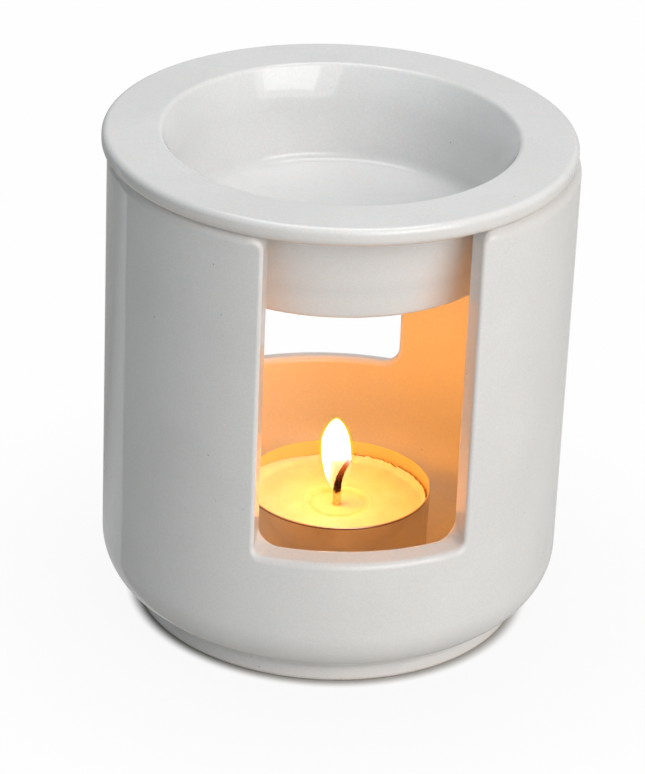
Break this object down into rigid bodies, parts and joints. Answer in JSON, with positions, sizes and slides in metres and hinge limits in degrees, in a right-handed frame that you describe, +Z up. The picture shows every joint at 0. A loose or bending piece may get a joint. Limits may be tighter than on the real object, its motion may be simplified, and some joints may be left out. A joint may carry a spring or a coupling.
{
  "type": "essential oil burner",
  "caption": "Round white glazed ceramic essential oil burner with a window through front and back, a lift-off oil dish in its open top and a tealight on its floor.",
  "frame": {"origin": "centre of the underside of the foot ring, on the body's axis", "axes": "+Z up along the body's axis, -Y out of the front window, +X to the right seen from the front"},
  "size_m": [0.0931, 0.0924, 0.1007],
  "materials": {
    "white_glaze": "gloss",
    "cup_aluminium": "satin",
    "candle_wax": "satin",
    "tinplate": "satin",
    "wick_cotton": "matte"
  },
  "bodies": {
    "body": {"burner_body": "white_glaze"},
    "dish": {"oil_dish": "white_glaze"},
    "tealight": {"tealight_cup": "cup_aluminium", "tealight_wax": "candle_wax", "wick_sustainer": "tinplate", "tealight_wick": "wick_cotton"}
  },
  "joints": [
    {"name": "dish_lift", "type": "slide", "parent": "body", "child": "dish", "axis": [0, 0, 1], "range_m": [0, 0.06]},
    {"name": "tealight_out", "type": "slide", "parent": "body", "child": "tealight", "axis": [-0.0271, -0.7066, 0.7071], "range_m": [0, 0.1]}
  ]
}
